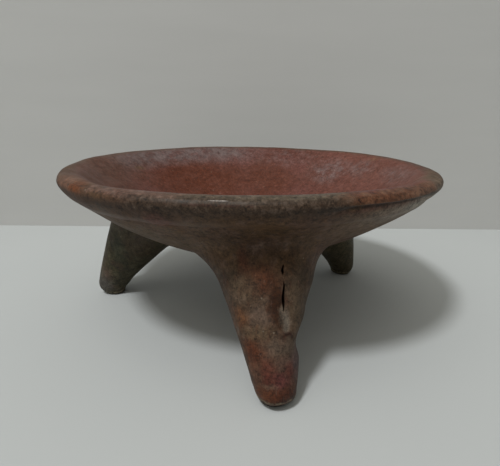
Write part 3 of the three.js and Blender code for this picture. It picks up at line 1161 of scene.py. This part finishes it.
# %% Helpers for the legs
def leg_clay(s, streaky, olive):
    if olive:
        bare = s.noise(s.place, 8, detail=4, seed=15).smooth(0.52, 0.64)
        return s.coated(olive_grey, (streaky.smooth(0.5, 0.62) * 0.5, (42, 37, 27)),
                        (s.mottle.smooth(0.48, 0.62) * 0.45, (79, 74, 58)),
                        (bare * 0.5, (66, 48, 36)))
    return s.coated((70, 54, 41), (streaky.smooth(0.5, 0.66) * 0.6, (76, 43, 28)),
                    (s.mottle.smooth(0.5, 0.66) * 0.6, (92, 76, 64)),
                    (s.mottle.smooth(0.46, 0.34) * 0.5, (52, 35, 22)))


def toe_rim_and_shade(s, rim):
    """A pale rim at that height round the toe, and below it a dark band of painted shade where the toe
    meets the table, with some dirt.
    """
    pale = s.z.smooth(rim - 0.8, rim - 0.2) * s.z.smooth(rim + 1.2, rim + 0.4) * s.grain.smooth(0.4, 0.5)
    # Below the pale rim, painted shade with some dirt darkens the toe's foot.
    return (pale * 0.6, (122, 114, 92)), (s.z.smooth(rim - 0.8, rim - 1.6) * 0.85, soot_and_shade)


def leg_material(name, patches, olive):
    """A leg's material. A patch is its middle, its reach, its colour and its share."""
    s = Surface(name)
    streaky = s.upright_streaks(2.2, 8, seed=14)
    fade = (s.z + (s.mottle - 0.5) * 20).smooth(66, 54)
    colour = s.coated(outside_colour(s), (fade, leg_clay(s, streaky, olive)))
    for middle, reach, tint, share in patches:
        colour = s.coated(colour, (s.patch(middle, reach, 0.7) * share, tint))
    if not olive:
        pale_streaks = s.upright_streaks(0.9, 5, seed=21).smooth(0.6, 0.7)
        colour = s.coated(colour, (pale_streaks * 0.35, (114, 92, 80)))
    colour = s.coated(colour, *toe_rim_and_shade(s, 2 if olive else 5.4))
    colour, dot, pit = fine_detail(s, colour, 1.4)
    return s.finish(colour, burnished(s, 0.54), relief(s, dot, pit, 1.6) + streaky * 0.14, 0.22)


print("helpers for the legs ready")

# %% [markdown]
# Every stain on a leg is listed one by one. The slip was laid over leg and fillet alike.

# %% Materials of the legs and their fillets
front_patches = (
    ((-12, -87, 64), (3, 8, 6), (78, 42, 26), 0.7), ((-4, -93, 58), (7, 8, 6), (76, 40, 20), 0.75),
    ((-14, -89, 54), (6, 7, 6), (84, 70, 54), 0.5), ((0, -97, 47), (2.8, 8, 11), (46, 22, 6), 0.95),
    ((-14, -93, 40), (3.5, 6, 4), (92, 58, 34), 0.7), ((-6, -98, 42), (4, 6, 3.6), (84, 68, 58), 0.6),
    ((-8, -99, 34), (6, 6, 3), (86, 70, 52), 0.6), ((-9, -101, 26), (6.5, 7, 6), (76, 37, 18), 0.85),
    ((3, -103, 29.5), (7, 7, 5), (80, 67, 57), 0.75), ((-1, -106, 15), (13, 9, 9), (76, 48, 36), 0.75),
    ((2, -107, 15.5), (5, 5, 3), (90, 46, 46), 0.65), ((-4, -107, 16.5), (2.2, 3, 2), (54, 28, 18), 0.7),
    ((4, -105, 22), (4, 5, 3), (86, 66, 58), 0.6), ((14, -96, 48), (7, 12, 16), (78, 65, 50), 0.6),
    ((2, -108, 8), (9, 8, 4), (66, 28, 14), 0.7), ((4.8, -100, 41), (2.4, 6, 4.6), (96, 88, 78), 0.85),
    ((5.5, -101, 35.2), (4.4, 4, 1.2), (42, 20, 12), 0.85), ((-5, -107, 8), (5, 6, 4), (88, 48, 26), 0.45),
    ((9.5, -98, 20), (3, 7, 7), (88, 70, 72), 0.55), ((-3, -106, 20), (2.5, 4, 4), (84, 36, 28), 0.5),
    ((6, -104, 19.5), (2.5, 4, 2.5), (90, 40, 34), 0.5),
    ((-2, -107, 13.6), (2.6, 4, 1.4), (100, 84, 68), 0.35))
left_patches = (
    ((-70, 4, 46), (12, 14, 12), (70, 54, 40), 0.5), ((-99, 25, 10), (7, 8, 7), (78, 75, 74), 0.6),
    ((-97, 21, 19), (5, 7, 5), (82, 66, 58), 0.45), ((-84, 8, 38), (5, 12, 9), (54, 58, 42), 0.5))
right_patches = (((76, 44, 24), (36, 36, 34), (80, 72, 54), 0.75),)
leg_materials = {"front": leg_material("front_leg_slip", front_patches, olive=False),
                 "left": leg_material("left_leg_smoked", left_patches, olive=True),
                 "right": leg_material("right_leg_smoked", right_patches, olive=True)}
for side, material in leg_materials.items():
    cover(legs[side], material)
    cover(fillets[side], material)
print("leg materials:", ", ".join(material.name for material in leg_materials.values()))

# %% [markdown]
# ## The pellets
# They were never slipped: bare buff clay, blackened on one side by the fire, with the dull powdery
# face of something that has rolled about for a long time.

# %% Material of the pellets
def pellet_material():
    s = Surface("bare_pellet_clay")
    blackened = s.noise(s.place, 5, detail=2, seed=19).smooth(0.5, 0.62)
    colour = s.coated((136, 104, 76), (s.grain.smooth(0.4, 0.6), (104, 76, 56)),
                      (blackened * 0.7, soot_and_shade))
    colour, _, pit = fine_detail(s, colour)
    return s.finish(colour, 0.78 + s.sand * 0.12, s.grain * 0.12 + s.sand * 0.08 - pit * 0.1)


pellet_clay = pellet_material()
for ball in pellets.values():
    cover(ball, pellet_clay)
print("pellet clay ready")

# %% [markdown]
# ## Which piece stands for what
# Every piece rides on a body of the frame and stands for the plain solid in its place. The solids
# stay in the frame for the physics.

# %% Ride and replace each piece
def takes_place(piece, node, body):
    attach(piece, body)
    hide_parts(node)


takes_place(dish, "dish", "vessel")
takes_place(lip, "lip_coil", "vessel")
for side in legs:
    takes_place(legs[side], f"leg_{side}", "vessel")
    takes_place(fillets[side], f"root_fillet_{side}", "vessel")
for node, ball in pellets.items():
    takes_place(ball, node, node)

visual_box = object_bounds()
for name, box in (("CAD", cad_box), ("visual", visual_box)):
    print(name, [[round(v / MM, 2) for v in corner] for corner in box], "mm")
